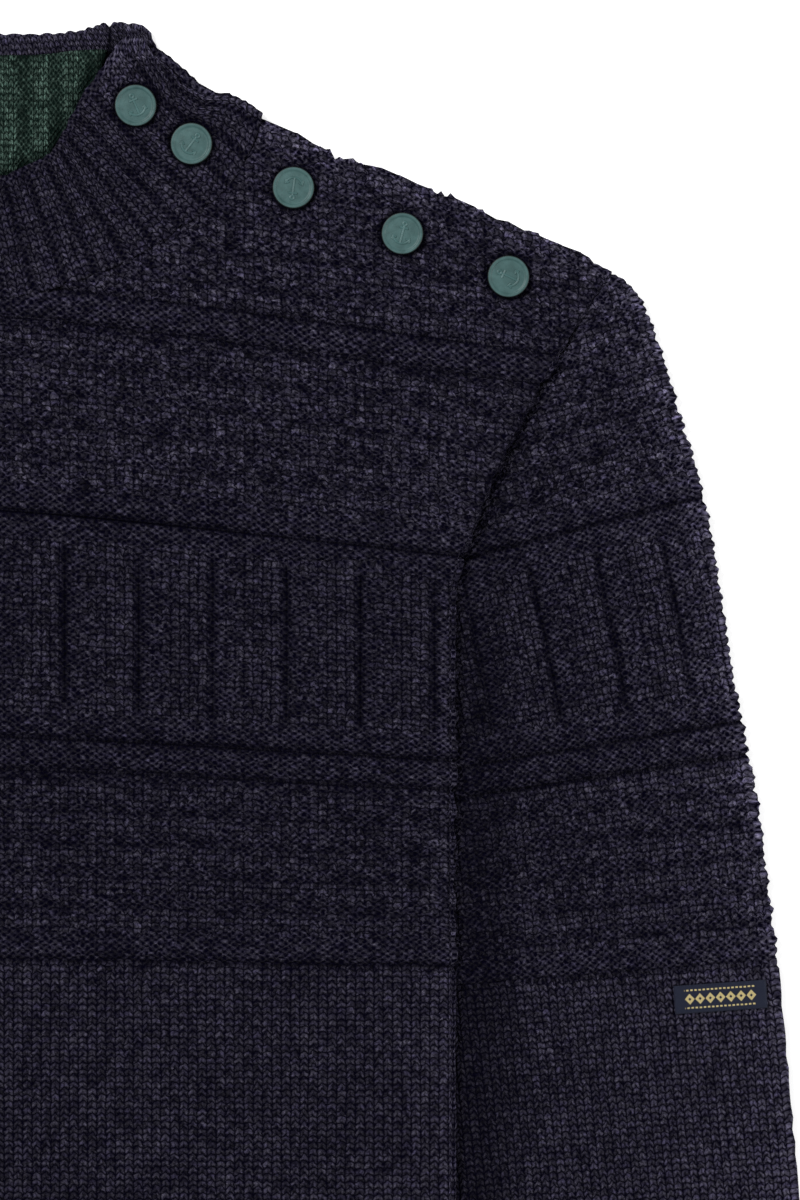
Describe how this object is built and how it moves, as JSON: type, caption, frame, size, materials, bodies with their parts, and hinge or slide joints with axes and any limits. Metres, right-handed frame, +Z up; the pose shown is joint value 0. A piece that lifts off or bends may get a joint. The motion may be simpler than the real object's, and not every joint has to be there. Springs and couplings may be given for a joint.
{
  "type": "guernsey fisherman sweater laid flat",
  "caption": "Dark navy knitted fisherman sweater laid flat, with a ribbed funnel collar lined in green, buttoned along the left shoulder, and banded ridge, ladder and moss stitch yoke.",
  "frame": {"origin": "middle of the garment's bounding box, on the surface that it lies on", "axes": "+X towards the wearer's left, +Y towards the neck, +Z up out of the front"},
  "size_m": [0.6976, 0.7046, 0.0176],
  "materials": {
    "navy_wool": "matte",
    "green_wool": "matte",
    "button_resin": "satin",
    "tab_weave": "matte"
  },
  "bodies": {
    "root": {"front": "navy_wool", "back": "navy_wool", "sleeve_left": "navy_wool", "sleeve_right": "navy_wool", "cuff_left": "navy_wool", "cuff_right": "navy_wool", "hem_front": "navy_wool", "hem_back": "navy_wool", "collar": "navy_wool", "collar_facing": "green_wool", "button_stand": "navy_wool", "button_collar_1": "button_resin", "button_collar_2": "button_resin", "button_shoulder_1": "button_resin", "button_shoulder_2": "button_resin", "button_shoulder_3": "button_resin", "sleeve_label": "tab_weave"}
  },
  "joints": []
}
